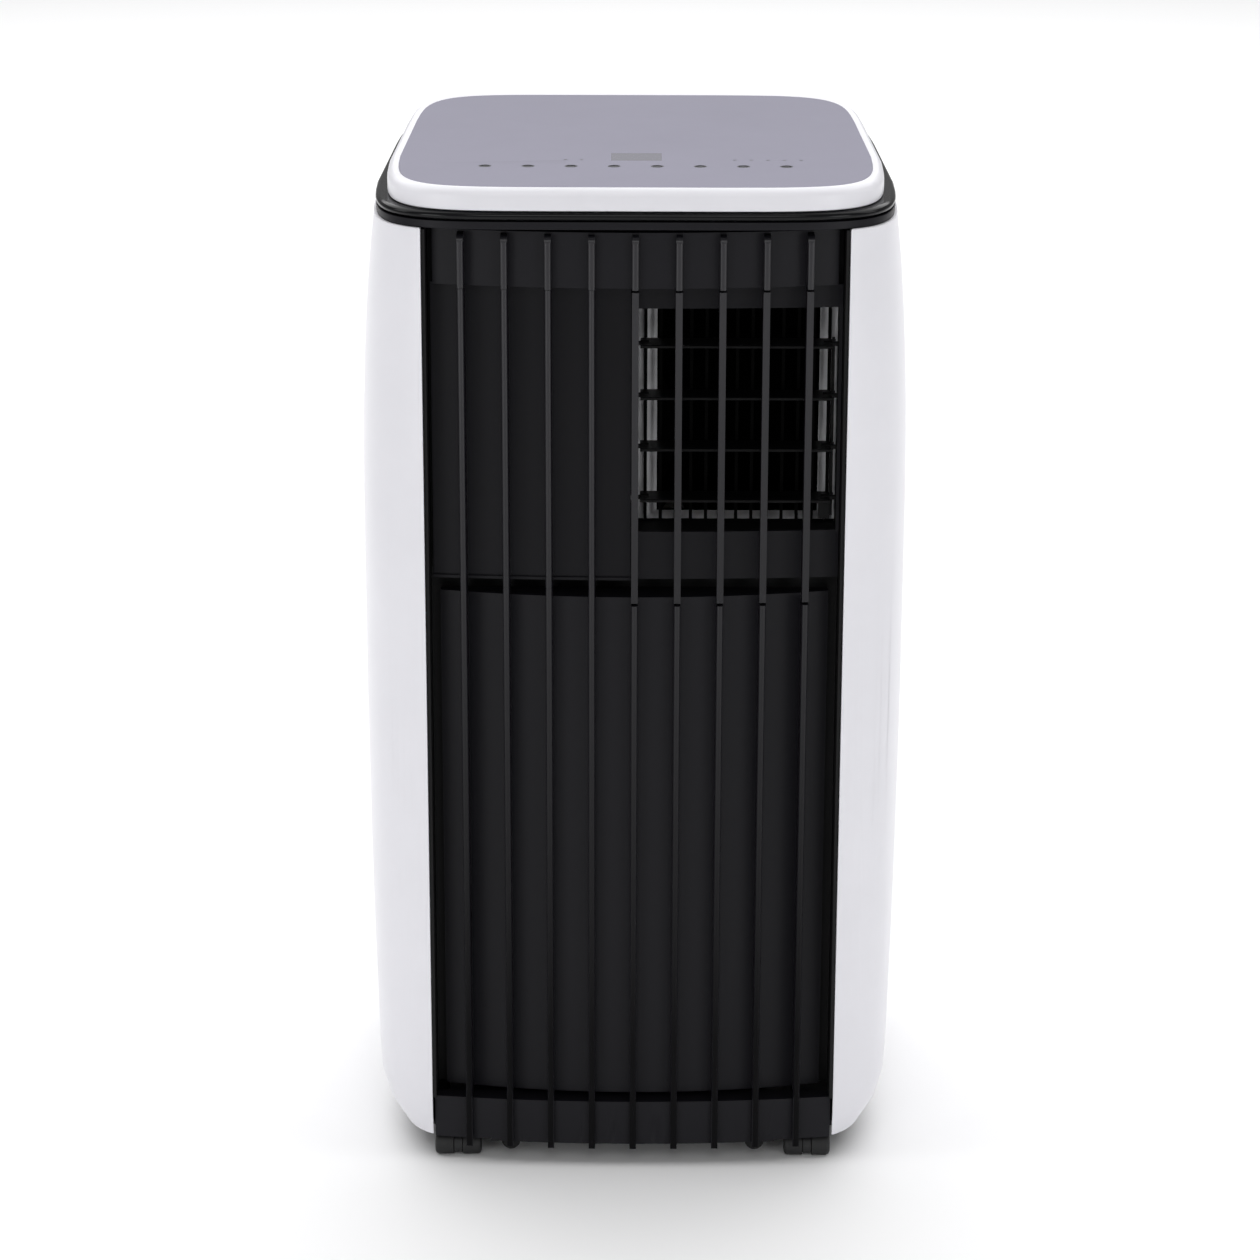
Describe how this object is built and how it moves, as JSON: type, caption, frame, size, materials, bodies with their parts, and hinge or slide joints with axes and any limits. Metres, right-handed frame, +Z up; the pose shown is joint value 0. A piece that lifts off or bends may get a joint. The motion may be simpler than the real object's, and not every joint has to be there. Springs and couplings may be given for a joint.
{
  "type": "portable air conditioner",
  "caption": "Floor-standing room air conditioner on swivel casters: bulged white side shells, finned black front, louvred outlet window and a touch lid.",
  "frame": {"origin": "floor level under the middle of the unit", "axes": "+Z up, -Y towards the finned front, +X towards the side with the cooled-air outlet"},
  "size_m": [0.384, 0.358, 0.722],
  "materials": {
    "white_shell": "white moulded plastic, satin gloss",
    "black_plastic": "black moulded plastic, satin",
    "caster_plastic": "black nylon",
    "wheel_plastic": "black nylon",
    "rubber": "black rubber",
    "gloss_black": "polished black plastic",
    "grey_panel": "back-painted clear panel, lavender grey",
    "display": "smoked window, display off",
    "key_print": "printed marks",
    "board": "circuit board lacquer",
    "grey_duct": "grey foam and plastic",
    "inner_plastic": "dark grey moulded plastic",
    "motor_steel": "zinc-plated steel",
    "coil_fins": "mill finish",
    "compressor_paint": "black enamel",
    "copper": "dull copper tube"
  },
  "bodies": {
    "chassis": {"base_pan": "black_plastic", "bumper_feet": "rubber", "left_shell": "white_shell", "right_shell": "white_shell", "front_frame": "black_plastic", "lower_panel": "black_plastic", "upper_panel": "black_plastic", "outlet_bezel": "black_plastic", "visor": "black_plastic", "top_frame": "black_plastic", "collar": "gloss_black", "lid": "white_shell", "control_glass": "grey_panel", "display_window": "display", "key_marks": "key_print", "control_board": "board", "outlet_duct": "black_plastic", "finger_guard": "black_plastic", "louvre_motor": "motor_steel", "evap_scroll": "grey_duct", "evap_motor": "motor_steel", "evap_coil": "coil_fins", "evap_shroud": "grey_duct", "mid_deck": "inner_plastic", "cond_scroll": "inner_plastic", "cond_motor": "motor_steel", "cond_coil": "coil_fins", "exhaust_duct": "inner_plastic", "exhaust_outlet": "black_plastic", "compressor": "compressor_paint", "compressor_feet": "rubber", "discharge_pipe": "copper", "suction_line": "copper", "capillary": "copper", "slinger_motor": "motor_steel", "control_box": "motor_steel", "run_capacitor": "motor_steel", "rear_panel": "black_plastic", "cord_gland": "rubber", "panel_screws": "motor_steel"},
    "caster_front_left": {"caster_front_left": "caster_plastic"},
    "caster_front_right": {"caster_front_right": "caster_plastic"},
    "caster_back_left": {"caster_back_left": "caster_plastic"},
    "caster_back_right": {"caster_back_right": "caster_plastic"},
    "wheels_front_left": {"wheels_front_left": "wheel_plastic"},
    "wheels_front_right": {"wheels_front_right": "wheel_plastic"},
    "wheels_back_left": {"wheels_back_left": "wheel_plastic"},
    "wheels_back_right": {"wheels_back_right": "wheel_plastic"},
    "louvre_1": {"louvre_1": "black_plastic"},
    "louvre_2": {"louvre_2": "black_plastic"},
    "louvre_3": {"louvre_3": "black_plastic"},
    "louvre_4": {"louvre_4": "black_plastic"},
    "louvre_link": {"louvre_link": "black_plastic"},
    "evap_wheel": {"evap_wheel": "inner_plastic"},
    "cond_wheel": {"cond_wheel": "inner_plastic"},
    "slinger_wheel": {"slinger_wheel": "inner_plastic"},
    "upper_filter": {"upper_filter": "black_plastic"},
    "lower_filter": {"lower_filter": "black_plastic"},
    "drain_plug_upper": {"drain_plug_upper": "rubber"},
    "drain_plug_lower": {"drain_plug_lower": "rubber"}
  },
  "joints": [
    {"name": "louvre_swing_1", "type": "hinge", "parent": "chassis", "child": "louvre_1", "pos_m": [0.07, -0.143, 0.607], "axis": [1, 0, 0], "range_deg": [-35, 35]},
    {"name": "louvre_swing_2", "type": "hinge", "parent": "chassis", "child": "louvre_2", "pos_m": [0.07, -0.143, 0.5704], "axis": [1, 0, 0], "range_deg": [-35, 35]},
    {"name": "louvre_swing_3", "type": "hinge", "parent": "chassis", "child": "louvre_3", "pos_m": [0.07, -0.143, 0.5338], "axis": [1, 0, 0], "range_deg": [-35, 35]},
    {"name": "louvre_swing_4", "type": "hinge", "parent": "chassis", "child": "louvre_4", "pos_m": [0.07, -0.143, 0.4972], "axis": [1, 0, 0], "range_deg": [-35, 35]},
    {"name": "louvre_link_pivot", "type": "hinge", "parent": "louvre_1", "child": "louvre_link", "pos_m": [0.1365, -0.135, 0.607], "axis": [1, 0, 0], "range_deg": [-35, 35]},
    {"name": "evap_fan_spin", "type": "hinge", "parent": "chassis", "child": "evap_wheel", "pos_m": [-0.047, -0.07, 0.535], "axis": [0, 1, 0], "continuous": true},
    {"name": "cond_fan_spin", "type": "hinge", "parent": "chassis", "child": "cond_wheel", "pos_m": [0.02, 0.05, 0.19], "axis": [0, 1, 0], "continuous": true},
    {"name": "slinger_spin", "type": "hinge", "parent": "chassis", "child": "slinger_wheel", "pos_m": [-0.096, 0.104, 0.066], "axis": [0, 1, 0], "continuous": true},
    {"name": "swivel_front_left", "type": "hinge", "parent": "chassis", "child": "caster_front_left", "pos_m": [-0.1273, -0.149, 0.02], "axis": [0, 0, 1], "continuous": true},
    {"name": "roll_front_left", "type": "hinge", "parent": "caster_front_left", "child": "wheels_front_left", "pos_m": [-0.1273, -0.155, 0.0087], "axis": [1, 0, 0], "continuous": true},
    {"name": "swivel_front_right", "type": "hinge", "parent": "chassis", "child": "caster_front_right", "pos_m": [0.1273, -0.149, 0.02], "axis": [0, 0, 1], "continuous": true},
    {"name": "roll_front_right", "type": "hinge", "parent": "caster_front_right", "child": "wheels_front_right", "pos_m": [0.1273, -0.155, 0.0087], "axis": [1, 0, 0], "continuous": true},
    {"name": "swivel_back_left", "type": "hinge", "parent": "chassis", "child": "caster_back_left", "pos_m": [-0.1273, 0.149, 0.02], "axis": [0, 0, 1], "continuous": true},
    {"name": "roll_back_left", "type": "hinge", "parent": "caster_back_left", "child": "wheels_back_left", "pos_m": [-0.1273, 0.143, 0.0087], "axis": [1, 0, 0], "continuous": true},
    {"name": "swivel_back_right", "type": "hinge", "parent": "chassis", "child": "caster_back_right", "pos_m": [0.1273, 0.149, 0.02], "axis": [0, 0, 1], "continuous": true},
    {"name": "roll_back_right", "type": "hinge", "parent": "caster_back_right", "child": "wheels_back_right", "pos_m": [0.1273, 0.143, 0.0087], "axis": [1, 0, 0], "continuous": true},
    {"name": "upper_filter_pull", "type": "slide", "parent": "chassis", "child": "upper_filter", "axis": [0, 1, 0], "range_m": [0, 0.05]},
    {"name": "lower_filter_pull", "type": "slide", "parent": "chassis", "child": "lower_filter", "axis": [0, 1, 0], "range_m": [0, 0.05]},
    {"name": "upper_plug_pull", "type": "slide", "parent": "chassis", "child": "drain_plug_upper", "axis": [0, 1, 0], "range_m": [0, 0.03]},
    {"name": "lower_plug_pull", "type": "slide", "parent": "chassis", "child": "drain_plug_lower", "axis": [0, 1, 0], "range_m": [0, 0.03]}
  ],
  "couplings": [
    {"joint": "louvre_swing_2", "follows": "louvre_swing_1", "ratio": 1},
    {"joint": "louvre_swing_3", "follows": "louvre_swing_1", "ratio": 1},
    {"joint": "louvre_swing_4", "follows": "louvre_swing_1", "ratio": 1},
    {"joint": "louvre_link_pivot", "follows": "louvre_swing_1", "ratio": -1}
  ]
}
